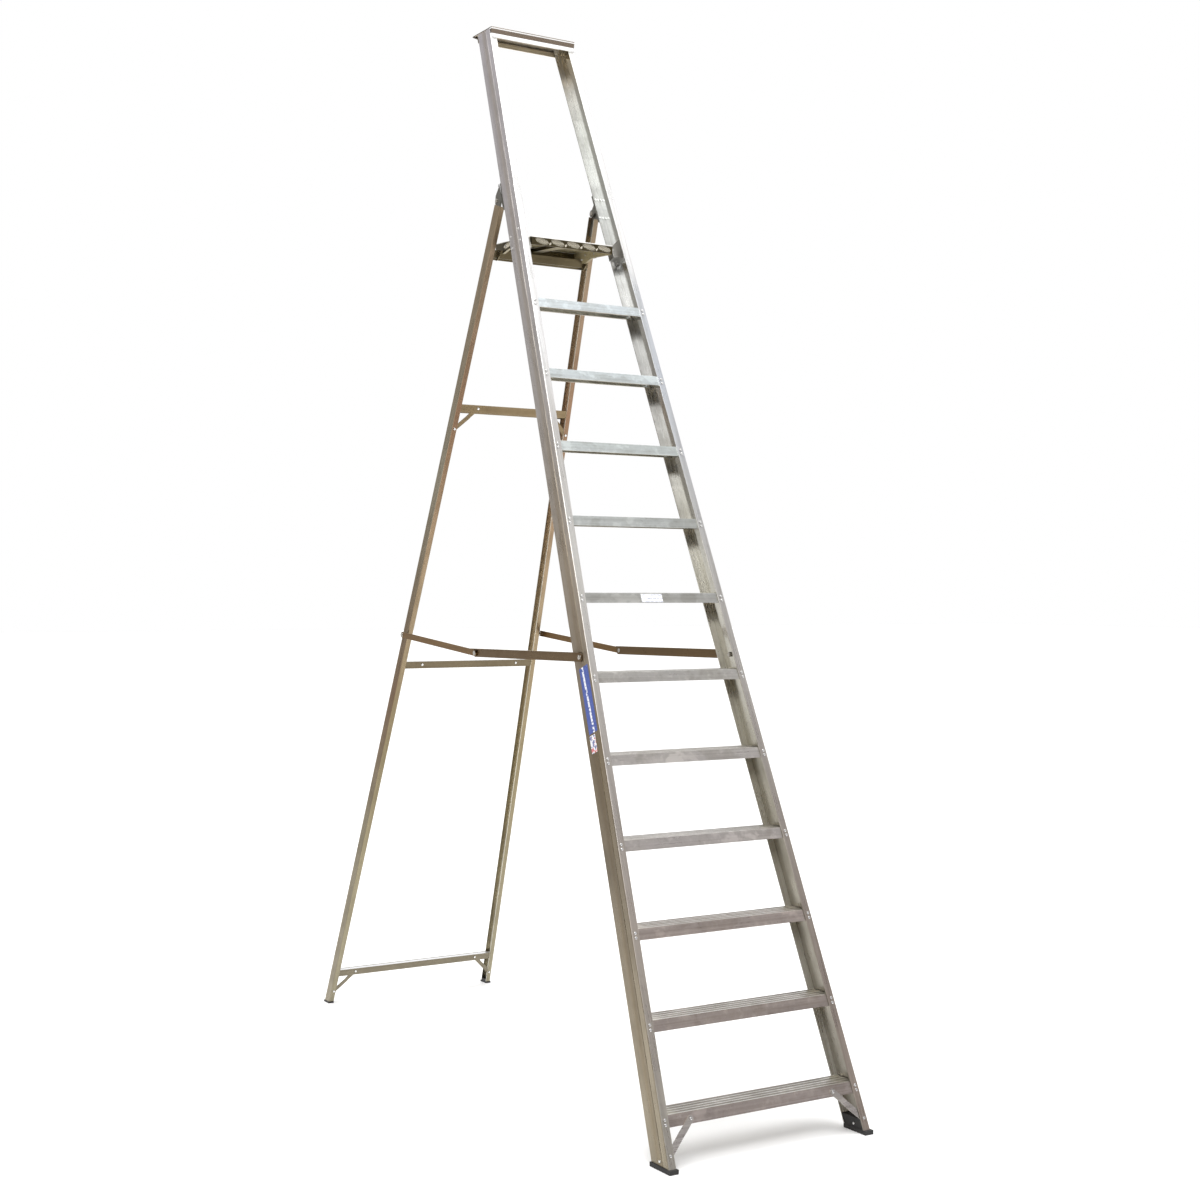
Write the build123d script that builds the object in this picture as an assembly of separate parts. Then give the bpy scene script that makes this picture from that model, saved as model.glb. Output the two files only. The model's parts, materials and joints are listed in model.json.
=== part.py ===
from build123d import *
import os
from math import atan2, cos, degrees, hypot, radians, sin

# Platform step ladder: eleven treads, a folding platform, a guard frame with a
# top cap, and a folding rear frame held open by two locking stays.
# Millimetres.  X is across the ladder, -Y is the climbing side, +Z is up.

# ---------------------------------------------------------------- front frame
FRONT_ANGLE = 68.2        # lean of the front stiles from the floor, degrees
STILE_FOOT_HALF = 340.0   # half width over the stiles, at the floor
STILE_TAPER = 0.0502      # half width lost per millimetre along the stile
STILE_DEPTH = 80.0        # depth of the stile channel
STILE_FLANGE = 24.0       # width of each stile flange
STILE_WEB = 2.5           # web thickness
STILE_WALL = 3.0          # flange thickness
STILE_CORNER = 3.0        # outer corner radius
GROOVE_AT = 24.0          # groove centre, from the front face
GROOVE_WIDTH = 5.0
GROOVE_DEPTH = 1.0
RIB_HEIGHT = 3.5          # rib inside the web, behind the groove
CAP_TOP = 3364.0          # overall height
CAP_PLATE = 3.0

TREADS = 11
FIRST_RISE = 137.2        # floor to the lowest tread
TREAD_RISE = 228.6        # vertical rise between treads
TREAD_LIP = 32.0          # lip length along the stile
TREAD_WALL = 2.5
TREAD_RIBS = 5
TREAD_RIB_WIDTH = 5.0
TREAD_RIB_HEIGHT = 1.2
TREAD_END_GAP = 6.5       # from the outside of the web to the tread end
RIVET_INSET = 11.8        # rivet line, in from the outside of the web
RIVET_DROP_1 = 11.4       # first and second rivet below the tread top
RIVET_DROP_2 = 24.6

BRACE_WIDTH = 18.0        # knee braces under the lowest tread
BRACE_WALL = 2.5
BRACE_TOP_IN = 240.0
BRACE_TOP_S = 130.0
BRACE_LOW_S = 46.4

SOLE_HEIGHT = 12.0        # rubber feet of the front frame
SOLE_PROUD = 5.0
SOLE_SIDE = 2.0
PLUG_TOP = 40.0
FOOT_RIVET_N = 36.0
FOOT_RIVET_Z = 23.0

# ----------------------------------------------------------------- rear frame
REAR_ANGLE = 69.5         # lean of the rear legs from the floor, degrees
REAR_FOOT_Y = 2284.4      # back of the rear legs at the floor
LEG_FOOT_HALF = 335.0
LEG_TAPER = 0.0501
LEG_DEPTH = 38.0
LEG_FLANGE = 18.0
LEG_WALL = 2.0
LEG_TOP_S = 2949.0        # upper end of the leg, along the leg
BAR_LIP = 26.0            # rear crossbars, lip along the leg
BAR_WALL = 2.0
BAR_TOPS = {"bottom": 126.5, "middle": 1268.0, "upper": 2134.0, "platform": 2619.4}
REAR_BRACE_WIDTH = 14.0
REAR_BRACE_IN = 82.0      # upper rivet, in from the outside of the leg
REAR_BRACE_DROP = 74.0
REAR_SOLE = 6.0
REAR_PLUG_TOP = 15.0
REAR_SIDE = 1.0

# --------------------------------------------------------------------- pivots
HINGE_Y = 1240.0          # rear frame hinge, from the front foot
HINGE_Z = 2772.0
HINGE_PIN = 4.0           # pin radius
STAY_FRONT_S = 1440.0     # stay pivot on the stile
STAY_FRONT_N = 39.5
STAY_MID_Y = 1213.0
STAY_MID_Z = 1316.0
STAY_REAR_S = 1463.0      # stay pivot on the rear leg
STAY_REAR_N = 23.0
RUNNING = 0.05            # radial clearance of every pivot

# ------------------------------------------------------------------- platform
PLATFORM_HALF = 150.0
PLATFORM_DEPTH = 240.0
PLATFORM_TILT = 3.5       # rear edge up when open
PLATFORM_WALL = 2.5
PLATFORM_LIP = 27.0
PIVOT_N = 41.0            # platform pivot, in the stile channel
PIVOT_S = 2843.0
PIVOT_BELOW_TOP = 12.0
PIVOT_FROM_FRONT = 23.5
PIVOT_PIN = 4.0
BRACKET_RIVET_N = (16.0, 67.0)
BRACKET_RIVET_S = (2822.0, 2864.0)

# ---------------------------------------------------------------------- stays
ARM_WALL = 2.0
ARM_LOW = 13.0            # arm web below and above its pivot line
ARM_HIGH = 14.0
ARM_FLANGE = 13.0
ARM_PAST = 20.0           # arm length past the middle pivot
STAY_PLANE = 269.3        # inner face of the arm, from the middle plane
LINK_WIDTH = 20.0
LINK_WALL = 4.1
LINK_GAP = 0.3

# --------------------------------------------------------------------- rivets
RIVET_R = 2.4
HEAD_R = 4.6
HEAD_H = 2.4
TAIL_R = 3.6
TAIL_H = 1.4

SA = sin(radians(FRONT_ANGLE))
CA = cos(radians(FRONT_ANGLE))
SB = sin(radians(REAR_ANGLE))
CB = cos(radians(REAR_ANGLE))
FRONT_OUT = (0, -SA, CA)
REAR_OUT = (0, SA, -CA)
WEB_OUT = (-1, CA * STILE_TAPER, SA * STILE_TAPER)
DEPTH_ALL = REAR_FOOT_Y + SOLE_SIDE + SOLE_PROUD
MIDDLE_Y = DEPTH_ALL / 2 - SOLE_PROUD
HOME = Location((0, -MIDDLE_Y, 0))


# ------------------------------------------------------------ frame positions
def half_width(s):
    return STILE_FOOT_HALF - STILE_TAPER * s


def leg_half(s):
    return LEG_FOOT_HALF - LEG_TAPER * s


def front_yz(s, n):
    return (s * CA + n * SA, s * SA - n * CA)


def front_point(x, s, n):
    y, z = front_yz(s, n)
    return (x, y, z)


def front_at_z(z, n):
    return z * CA / SA + n / SA


def front_s(z, n):
    return (z + n * CA) / SA


def rear_yz(s, n):
    return (REAR_FOOT_Y - s * CB - n * SB, s * SB - n * CB)


def rear_point(x, s, n):
    y, z = rear_yz(s, n)
    return (x, y, z)


def rear_at_z(z, n):
    return REAR_FOOT_Y - z * CB / SB - n / SB


def rear_s(z, n):
    return (z + n * CB) / SB


def stile_plane(s):
    return Plane(origin=front_point(-half_width(s), s, 0), x_dir=(1, 0, 0), z_dir=(0, CA, SA))


def leg_plane(s):
    # local x runs inwards from the web, local y runs from the back face forward
    return Plane(origin=rear_point(-leg_half(s), s, 0), x_dir=(1, 0, 0), z_dir=(0, CB, -SB))


# ---------------------------------------------------------------- basic solids
def one(shape):
    return shape.solids()[0]


def prism_x(points, x0, x1):
    face = make_face(Polyline(*points, close=True))
    return extrude(Plane.YZ.offset(x0) * face, x1 - x0)


def both_sides(solid):
    return mirror(solid, about=Plane.YZ)


def slab(z0, z1):
    return Pos(0, 1200, (z0 + z1) / 2) * Box(900, 4000, z1 - z0)


def rect(u0, u1, v0, v1):
    return Pos((u0 + u1) / 2, (v0 + v1) / 2) * Rectangle(u1 - u0, v1 - v0)


def along_stile(face, s0, s1):
    run = hypot(1, STILE_TAPER) * (s1 - s0)
    return extrude(stile_plane(s0) * face, run, dir=(STILE_TAPER, CA, SA))


def along_leg(face, s0, s1):
    run = hypot(1, LEG_TAPER) * (s1 - s0)
    return extrude(leg_plane(s0) * face, run, dir=(LEG_TAPER, -CB, SB))


def rivet(grip):
    low = (Align.CENTER, Align.CENTER, Align.MIN)
    shank = Cylinder(RIVET_R, grip + 0.2, align=low)
    head = Cylinder(HEAD_R, HEAD_H, align=low)
    head = fillet(head.edges().group_by(Axis.Z)[-1], HEAD_H * 0.85)
    tail = Cylinder(TAIL_R, TAIL_H, align=low)
    return head + Pos(0, 0, -grip - 0.1) * shank + Pos(0, 0, -grip - TAIL_H) * tail


def seat(point, outward):
    return Plane(origin=point, z_dir=outward).location


def hole(point, outward, radius, grip):
    tool = Cylinder(radius, grip + 4, align=(Align.CENTER, Align.CENTER, Align.MAX))
    return seat(point, outward) * Pos(0, 0, 2) * tool


class RivetSet:
    """Rivets of one kind with the holes they need."""

    def __init__(self):
        self.solids = []
        self.seats = []

    def add(self, point, outward, grip):
        self.solids.append(one(seat(point, outward) * rivet(grip)))
        self.seats.append((point, outward, grip))

    def near(self, box):
        found = []
        for p, o, g in self.seats:
            if box.min.X - 9 < p[0] < box.max.X + 9:
                if box.min.Y - 9 < p[1] < box.max.Y + 9:
                    if box.min.Z - 9 < p[2] < box.max.Z + 9:
                        found.append(hole(p, o, RIVET_R, g))
        return found


def flip(point):
    return (-point[0], point[1], point[2])


def add_pair(rivets, point, outward, grip):
    rivets.add(point, outward, grip)
    rivets.add(flip(point), flip(outward), grip)


def around_rivets(solid, group):
    """Cuts whole rivets out of a soft part that is moulded round them."""
    box = solid.bounding_box()
    close = []
    for rivet_solid, seat_data in zip(group.solids, group.seats):
        p = seat_data[0]
        if box.min.X - 9 < p[0] < box.max.X + 9:
            if box.min.Y - 9 < p[1] < box.max.Y + 9:
                if box.min.Z - 9 < p[2] < box.max.Z + 9:
                    close.append(rivet_solid)
    return solid - close if close else solid


def drilled(solid, *sets):
    tools = []
    for group in sets:
        tools += group.near(solid.bounding_box())
    if not tools:
        return one(solid)
    return one(solid - tools)


# ------------------------------------------------------------------ rivet sets
frame_rivets = RivetSet()
tread_rivets = RivetSet()
rear_rivets = RivetSet()
platform_rivets = RivetSet()

TREAD_Z = [FIRST_RISE + TREAD_RISE * i for i in range(TREADS)]
LIP_GRIP = STILE_WALL + TREAD_WALL
for top in TREAD_Z:
    for drop in (RIVET_DROP_1, RIVET_DROP_2):
        s = front_s(top, STILE_WALL) - drop
        x = -(half_width(s) - RIVET_INSET)
        add_pair(tread_rivets, front_point(x, s, 0), FRONT_OUT, LIP_GRIP)
        s = front_s(top, STILE_DEPTH - STILE_WALL) - drop
        x = -(half_width(s) - RIVET_INSET)
        add_pair(tread_rivets, front_point(x, s, STILE_DEPTH), REAR_OUT, LIP_GRIP)

# platform brackets on the webs
BRACKET_WALL = 6.0
for n in BRACKET_RIVET_N:
    for s in BRACKET_RIVET_S:
        add_pair(frame_rivets, front_point(-half_width(s), s, n), WEB_OUT, STILE_WEB + BRACKET_WALL)

# hinge brackets on the rear flanges
HINGE_BASE = 4.0
HINGE_RIVET_S = (2990.0, 3059.0)
for s in HINGE_RIVET_S:
    for inset in (8.0, 18.5):
        x = -(half_width(s) - inset)
        point = front_point(x, s, STILE_DEPTH + HINGE_BASE)
        add_pair(frame_rivets, point, REAR_OUT, STILE_WALL + HINGE_BASE)

# top cap on the rear flanges
CAP_RIVET_S = 3630.0
CAP_SKIN = 2.7 * SA
for inset in (7.5, 17.5):
    x = -(half_width(CAP_RIVET_S) - inset)
    point = front_point(x, CAP_RIVET_S, STILE_DEPTH + CAP_SKIN)
    add_pair(frame_rivets, point, REAR_OUT, STILE_WALL + CAP_SKIN)

# knee braces of the lowest tread
brace_low_x = half_width(BRACE_LOW_S) - 12.0
add_pair(frame_rivets, front_point(-BRACE_TOP_IN, BRACE_TOP_S, 0.5), FRONT_OUT, 5.0)
add_pair(frame_rivets, front_point(-brace_low_x, BRACE_LOW_S, 0), FRONT_OUT, 5.5)

# feet
foot_s = front_s(FOOT_RIVET_Z, FOOT_RIVET_N)
foot_point = front_point(-half_width(foot_s), foot_s, FOOT_RIVET_N)
add_pair(frame_rivets, foot_point, WEB_OUT, STILE_FLANGE - 1.0)


# ----------------------------------------------------------------- front frame
def stile_section():
    outer = make_face(
        Polyline((0, 0), (STILE_FLANGE, 0), (STILE_FLANGE, STILE_DEPTH), (0, STILE_DEPTH), close=True)
    )
    corners = outer.vertices().filter_by(lambda v: v.X < 1)
    outer = fillet(corners, STILE_CORNER)
    lips = outer.vertices().filter_by(lambda v: v.X > STILE_FLANGE - 1)
    outer = fillet(lips, 1.2)
    inside = rect(STILE_WEB, STILE_FLANGE + 5, STILE_WALL, STILE_DEPTH - STILE_WALL)
    section = outer - inside
    half = GROOVE_WIDTH / 2
    rib = rect(STILE_WEB - 0.5, STILE_WEB + RIB_HEIGHT, GROOVE_AT - half, GROOVE_AT + half)
    groove = rect(-1, GROOVE_DEPTH, GROOVE_AT - half, GROOVE_AT + half)
    return section + rib - groove


def make_stile():
    whole = along_stile(stile_section(), -40, 3700)
    return whole & slab(SOLE_HEIGHT, CAP_TOP - CAP_PLATE)


def tread_profile(top):
    n0 = STILE_WALL
    n1 = STILE_DEPTH - STILE_WALL
    t = TREAD_WALL
    face_z = top - TREAD_RIB_HEIGHT
    low = top - TREAD_LIP * SA
    points = [
        (front_at_z(face_z, n0), face_z),
        (front_at_z(low, n0), low),
        (front_at_z(low, n0 + 9), low),
        (front_at_z(low + 2, n0 + 9), low + 2),
        (front_at_z(low + 2, n0 + t), low + 2),
        (front_at_z(face_z - t, n0 + t), face_z - t),
        (front_at_z(face_z - t, n1 - t), face_z - t),
        (front_at_z(low + 2, n1 - t), low + 2),
        (front_at_z(low + 2, n1 - 9), low + 2),
        (front_at_z(low, n1 - 9), low),
        (front_at_z(low, n1), low),
        (front_at_z(face_z, n1), face_z),
    ]
    return points


def make_tread(top):
    s = front_s(top, STILE_WALL)
    half = half_width(s) - TREAD_END_GAP
    body = prism_x(tread_profile(top), -half, half)
    first = front_at_z(top, STILE_WALL) + 1.0
    last = front_at_z(top, STILE_DEPTH - STILE_WALL) - 2.0
    pitch = (last - first - TREAD_RIB_WIDTH) / (TREAD_RIBS - 1)
    base = top - TREAD_RIB_HEIGHT - 0.5
    for i in range(TREAD_RIBS):
        y = first + pitch * i
        rib = [(y, base), (y + TREAD_RIB_WIDTH, base), (y + TREAD_RIB_WIDTH - 1, top), (y + 1, top)]
        body = body + prism_x(rib, -half, half)
    return body


def strip(start, end, plane_of, width, wall, steps):
    """Flat strip with rounded ends; steps lists (distance, height) along it."""
    (x0, s0), (x1, s1) = start, end
    length = hypot(x1 - x0, s1 - s0)
    plane = plane_of(x0, s0, (x1 - x0) / length, (s1 - s0) / length)
    top = [(d, h) for d, h in steps]
    under = [(d, h - wall) for d, h in reversed(steps)]
    side = make_face(Polyline(*(top + under), close=True))
    side_plane = Plane(origin=plane.origin, x_dir=plane.x_dir, z_dir=-plane.y_dir)
    body = extrude(side_plane * side, width, both=True)
    ends = Pos(length / 2, 0) * SlotCenterToCenter(length, width)
    form = extrude(plane * ends, 60, both=True)
    return body & form


def front_strip_plane(x, s, dx, ds):
    return Plane(origin=front_point(x, s, 0), x_dir=(dx, ds * CA, ds * SA), z_dir=FRONT_OUT)


def rear_strip_plane(x, s, dx, ds):
    return Plane(origin=rear_point(x, s, 0), x_dir=(dx, -ds * CB, ds * SB), z_dir=(0, -SB, -CB))


def make_knee_brace():
    steps = [(-12, -0.5), (34, -0.5), (52, -3.0), (140, -3.0)]
    start = (-BRACE_TOP_IN, BRACE_TOP_S)
    end = (-brace_low_x, BRACE_LOW_S)
    return strip(start, end, front_strip_plane, BRACE_WIDTH, BRACE_WALL, steps)


def make_front_foot(stile):
    inner = -(STILE_FOOT_HALF - STILE_FLANGE) + SOLE_SIDE
    outer = -STILE_FOOT_HALF - SOLE_SIDE
    front = -SOLE_PROUD
    back = front_at_z(0, STILE_DEPTH) + SOLE_PROUD
    sole = [
        (front, 1.5),
        (front + 1.5, 0),
        (back - 1.5, 0),
        (back, 1.5),
        (back, SOLE_HEIGHT),
        (front, SOLE_HEIGHT),
    ]
    body = prism_x(sole, outer, inner)
    grooves = [prism_x(groove_outline(front + 12 + 13 * i), outer - 1, inner + 1) for i in range(6)]
    body = body - grooves
    core = rect(STILE_WEB, STILE_FLANGE - 1.0, STILE_WALL, STILE_DEPTH - STILE_WALL)
    plug = along_stile(core, -40, 120) & slab(SOLE_HEIGHT - 0.5, PLUG_TOP)
    plug = plug - stile
    return body + plug


def groove_outline(y):
    return [(y, -1), (y + 5, -1), (y + 4, 2.0), (y + 1, 2.0)]


def cap_outline():
    z = CAP_TOP
    low = front_at_z(z - 34, 0)
    mid = front_at_z(z - 22, 0)
    top = front_at_z(z - CAP_PLATE, 0)
    back = front_at_z(z - 15.5, STILE_DEPTH)
    foot = front_at_z(3331, STILE_DEPTH)
    outline = [
        (1329.0, z),
        (1328.0, z - 3),
        (1331.5, z - 20.5),
        (1326.0, z - 22.5),
        (1324.5, z - 29),
        (1326.5, z - 34),
        (low, z - 34),
        (mid, z - 22),
        (top, z - CAP_PLATE),
        (front_at_z(z - CAP_PLATE, STILE_DEPTH), z - CAP_PLATE),
        (1453.0, z - CAP_PLATE),
        (back, z - 15.5),
        (foot, 3331),
        (foot + 2.7, 3331),
        (front_at_z(z - 18.5, STILE_DEPTH) + 2.7, z - 18.5),
        (1461.0, z - 3.5),
        (1462.0, z),
    ]
    return outline


def make_cap():
    half = half_width(3640) + 0.8
    return prism_x(cap_outline(), -half, half)


def make_platform_bracket(stile):
    base = along_stile(rect(STILE_WEB, STILE_WEB + BRACKET_WALL, 8, 75), 2808, 2878)
    base = base - stile
    cheek_out = PLATFORM_HALF + 6.0
    cheek_in = PLATFORM_HALF + 3.0
    s0 = 2808.0
    reach = half_width(s0) - STILE_WEB - 4
    shelf = [front_yz(s0, 27), front_yz(s0, 55), front_yz(s0 + 3, 55), front_yz(s0 + 3, 27)]
    shelf = prism_x(shelf, -reach, -cheek_in)
    lower = [front_yz(s0, 27), front_yz(s0, 55), front_yz(PIVOT_S, 55), front_yz(PIVOT_S, 27)]
    cheek = prism_x(lower, -cheek_out, -cheek_in)
    py, pz = front_yz(PIVOT_S, PIVOT_N)
    ear = Pos(-(cheek_out + cheek_in) / 2, py, pz) * Rot(0, 90, 0) * Cylinder(14, 3.0)
    body = base + shelf + cheek + ear
    pin_hole = Pos(-cheek_in, py, pz) * Rot(0, 90, 0) * Cylinder(PIVOT_PIN, 20)
    return body - pin_hole


def make_platform_pin():
    py, pz = front_yz(PIVOT_S, PIVOT_N)
    p = PLATFORM_HALF
    shank = disc_x(PIVOT_PIN, -(p + 6.0), -(p - 2.8), py, pz)
    head = disc_x(7.0, -(p + 8.5), -(p + 6.0), py, pz)
    tail = disc_x(6.0, -(p - 2.8), -(p - 5.0), py, pz)
    return shank + fillet(head.edges().group_by(Axis.X)[0], 1.5) + tail


def disc_x(radius, x0, x1, y, z):
    lo, hi = min(x0, x1), max(x0, x1)
    return Pos((lo + hi) / 2, y, z) * Rot(0, 90, 0) * Cylinder(radius, hi - lo)


# hinge bracket, fixed to the stile
LUG_OUT = 177.7
LUG_IN = 173.2


def make_hinge_bracket():
    n0 = STILE_DEPTH
    n1 = n0 + HINGE_BASE
    base = along_stile(rect(0.5, STILE_FLANGE + 1.5, n0, n1), 2976, 3074)
    cheek = [
        front_yz(2980, n1 - 1),
        front_yz(2984, n0 + 7.5),
        front_yz(3066, n0 + 7.5),
        front_yz(3072, n1 - 1),
    ]
    wide = half_width(2976)
    cheek = prism_x(cheek, -(wide - 0.5), -(wide - 2.6))
    hs, hn = hinge_in_front()
    lug = [
        front_yz(3025, n0 + 1),
        front_yz(3049, n0 + 1),
        front_yz(hs + 9, hn + 7),
        front_yz(hs - 9, hn + 7),
    ]
    lug = prism_x(lug, -LUG_OUT, -LUG_IN)
    eye = disc_x(12.0, -LUG_OUT, -LUG_IN, HINGE_Y, HINGE_Z)
    boss = disc_x(8.5, -LUG_OUT - 2.4, -LUG_OUT, HINGE_Y, HINGE_Z)
    body = base + cheek + lug + eye + boss
    return body - disc_x(HINGE_PIN, -195, -150, HINGE_Y, HINGE_Z)


def hinge_in_front():
    s = HINGE_Y * CA + HINGE_Z * SA
    n = HINGE_Y * SA - HINGE_Z * CA
    return s, n


def make_hinge_pin():
    shank = disc_x(HINGE_PIN, -LUG_IN, -185.3, HINGE_Y, HINGE_Z)
    outer = disc_x(7.0, -185.3, -188.0, HINGE_Y, HINGE_Z)
    outer = fillet(outer.edges().group_by(Axis.X)[0], 1.6)
    inner = disc_x(7.0, -LUG_IN, -LUG_IN + 2.6, HINGE_Y, HINGE_Z)
    inner = fillet(inner.edges().group_by(Axis.X)[-1], 1.6)
    return shank + outer + inner


def make_stay_pin():
    y, z = front_yz(STAY_FRONT_S, STAY_FRONT_N)
    skin = half_width(STAY_FRONT_S)
    shank = disc_x(4.0, -(skin - STILE_WEB - 9), -(STAY_PLANE + ARM_WALL + 0.3), y, z)
    head = disc_x(7.5, -(STAY_PLANE + ARM_WALL + 0.3), -(STAY_PLANE + ARM_WALL + 3.6), y, z)
    head = fillet(head.edges().group_by(Axis.X)[0], 1.8)
    nut = extrude(RegularPolygon(7.5, 6), 3, both=True)
    nut = Pos(-(skin - STILE_WEB - 4.4), y, z) * Rot(0, 90, 0) * nut
    return shank + head + nut


def label_on_web(n0, n1, s0, s1):
    return along_stile(rect(-0.3, 0.0, n0, n1), s0, s1)


def label_on_tread(index, x0, x1):
    top = TREAD_Z[index]
    high = top - 3.0
    low = top - TREAD_LIP * SA + 2.0
    n = STILE_WALL
    points = [
        (front_at_z(high, n), high),
        (front_at_z(low, n), low),
        (front_at_z(low, n - 0.3), low),
        (front_at_z(high, n - 0.3), high),
    ]
    return prism_x(points, x0, x1)


# ------------------------------------------------------------------ rear frame
BAR_FRONT_N = LEG_DEPTH - LEG_WALL


def bar_profile(top):
    n0 = LEG_WALL
    n1 = BAR_FRONT_N
    t = BAR_WALL
    low = top - BAR_LIP * SB
    return [
        (rear_at_z(top, n1), top),
        (rear_at_z(low, n1), low),
        (rear_at_z(low, n1 - t), low),
        (rear_at_z(top - t, n1 - t), top - t),
        (rear_at_z(top - t, n0 + t), top - t),
        (rear_at_z(low, n0 + t), low),
        (rear_at_z(low, n0), low),
        (rear_at_z(top, n0), top),
    ]


def make_bar(top):
    s = rear_s(top, LEG_WALL)
    half = leg_half(s) - LEG_WALL - 0.4
    return prism_x(bar_profile(top), -half, half)


for name, top in BAR_TOPS.items():
    for drop in (8.0, 17.0):
        s = rear_s(top, 0) - drop
        x = -(leg_half(s) - 9.5)
        add_pair(rear_rivets, rear_point(x, s, 0), (0, SB, CB), LEG_WALL + BAR_WALL)

for name in ("bottom", "upper"):
    s = rear_s(BAR_TOPS[name], BAR_FRONT_N) - 12.0
    x = -(leg_half(s) - REAR_BRACE_IN)
    add_pair(rear_rivets, rear_point(x, s, BAR_FRONT_N), (0, -SB, -CB), BAR_WALL + 2.0)
    s = s - REAR_BRACE_DROP
    x = -(leg_half(s) - 10.0)
    add_pair(rear_rivets, rear_point(x, s, LEG_DEPTH), (0, -SB, -CB), LEG_WALL + 2.0)

for sign in (-1, 1):
    s = rear_s(BAR_TOPS["middle"], BAR_FRONT_N) - 12.0
    rear_rivets.add(rear_point(sign * 186.0, s, BAR_FRONT_N), (0, -SB, -CB), BAR_WALL)


def make_rear_brace(name):
    s0 = rear_s(BAR_TOPS[name], BAR_FRONT_N) - 12.0
    s1 = s0 - REAR_BRACE_DROP
    start = (-(leg_half(s0) - REAR_BRACE_IN), s0)
    end = (-(leg_half(s1) - 10.0), s1)
    behind_lip = BAR_FRONT_N - BAR_WALL
    behind_flange = LEG_DEPTH - LEG_WALL
    steps = [(-12, behind_lip), (36, behind_lip), (46, behind_flange), (140, behind_flange)]
    return strip(start, end, rear_strip_plane, REAR_BRACE_WIDTH, 2.0, steps)


def leg_section():
    outer = rect(0, LEG_FLANGE, -LEG_DEPTH, 0)
    outer = fillet(outer.vertices().filter_by(lambda v: v.X < 1), 2.5)
    outer = fillet(outer.vertices().filter_by(lambda v: v.X > LEG_FLANGE - 1), 0.9)
    inside = rect(LEG_WALL, LEG_FLANGE + 5, -(LEG_DEPTH - LEG_WALL), -LEG_WALL)
    return outer - inside


def make_leg():
    whole = along_leg(leg_section_placed(), -40, LEG_TOP_S)
    whole = whole & slab(REAR_SOLE, 3300)
    y, z = rear_yz(STAY_REAR_S, STAY_REAR_N)
    return whole - disc_x(4.0, -300, -240, y, z)


def leg_section_placed():
    # the leg plane's local y points forward, so the section is drawn mirrored
    return mirror(leg_section(), about=Plane.XZ)


def make_rear_foot(leg):
    outer = -LEG_FOOT_HALF - REAR_SIDE
    inner = -(LEG_FOOT_HALF - LEG_FLANGE) + REAR_SIDE
    back = REAR_FOOT_Y + SOLE_SIDE
    front = rear_at_z(REAR_SOLE, LEG_DEPTH) - REAR_SIDE
    sole = [
        (front, 1.2),
        (front + 1.2, 0),
        (back - 1.2, 0),
        (back, 1.2),
        (back, REAR_SOLE),
        (front, REAR_SOLE),
    ]
    body = prism_x(sole, outer, inner)
    core = rect(LEG_WALL, LEG_FLANGE - 0.5, LEG_WALL, LEG_DEPTH - LEG_WALL)
    plug = along_leg(core, -40, 80) & slab(REAR_SOLE - 0.5, REAR_PLUG_TOP)
    return body + (plug - leg)


def leg_plate_outline():
    return [
        (2888, 3.0),
        (2888, 35.0),
        (2951, 35.0),
        (2972, 35.0),
        (3006, 5.0),
        (2976, -6.0),
        (2951, -1.0),
        (2951, 3.0),
    ]


def make_hinge_plate():
    outline = [rear_yz(s, n) for s, n in leg_plate_outline()]
    x = leg_half(LEG_TOP_S) - LEG_WALL - 0.4
    body = prism_x(outline, -x, -(x - 4.5))
    return body - disc_x(HINGE_PIN + RUNNING, -195, -150, HINGE_Y, HINGE_Z)


def make_rest_clip():
    top = BAR_TOPS["platform"]

    def face_y(z):
        return rear_at_z(z, BAR_FRONT_N)

    outline = [
        (face_y(top - 4), top - 4),
        (face_y(top - 4) - 8, top - 7),
        (face_y(top - 4) - 9, top - 20),
        (1271.0, top - 31),
        (1283.0, top - 32),
        (1284.0, top - 28.5),
        (face_y(top - 21) + 0.3, top - 23.5),
        (face_y(top - 21), top - 21),
    ]
    return prism_x(outline, -165.0, -162.0)


def make_stay_boss(leg):
    y, z = rear_yz(STAY_REAR_S, STAY_REAR_N)
    skin = leg_half(STAY_REAR_S)
    plane = STAY_PLANE + ARM_WALL
    boss = disc_x(8.0, -(skin - 1.0), -plane, y, z) - leg
    shank = disc_x(4.0, -(skin + 1.0), -(skin - LEG_WALL - 1.0), y, z)
    tail = disc_x(6.5, -(skin - LEG_WALL - 0.6), -(skin - LEG_WALL - 2.6), y, z)
    return boss + shank + tail


# --------------------------------------------------------------------- platform
TILT = Location((0, *front_yz(PIVOT_S, PIVOT_N)), (PLATFORM_TILT, 0, 0))
P_FRONT = -PIVOT_FROM_FRONT
P_BACK = PLATFORM_DEPTH - PIVOT_FROM_FRONT
P_TOP = PIVOT_BELOW_TOP
P_LOW = P_TOP - PLATFORM_LIP


def block(x0, x1, y0, y1, z0, z1):
    return Pos((x0 + x1) / 2, (y0 + y1) / 2, (z0 + z1) / 2) * Box(x1 - x0, y1 - y0, z1 - z0)


def make_tray():
    p, t = PLATFORM_HALF, PLATFORM_WALL
    outer = block(-p, p, P_FRONT, P_BACK, P_LOW, P_TOP)
    outer = fillet(outer.edges().group_by(Axis.Z)[-1], 2.0)
    inside = block(-p + t, p - t, P_FRONT + t, P_BACK - t, P_LOW - 5, P_TOP - t)
    return outer - inside - disc_x(PIVOT_PIN + RUNNING, -200, 200, 0, 0)


def side_outline():
    return [
        (-17, 9.0),
        (-17, -9.0),
        (-8, -16.5),
        (110, -16.5),
        (150, -28.0),
        (165, -28.0),
        (165, 9.0),
    ]


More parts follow.
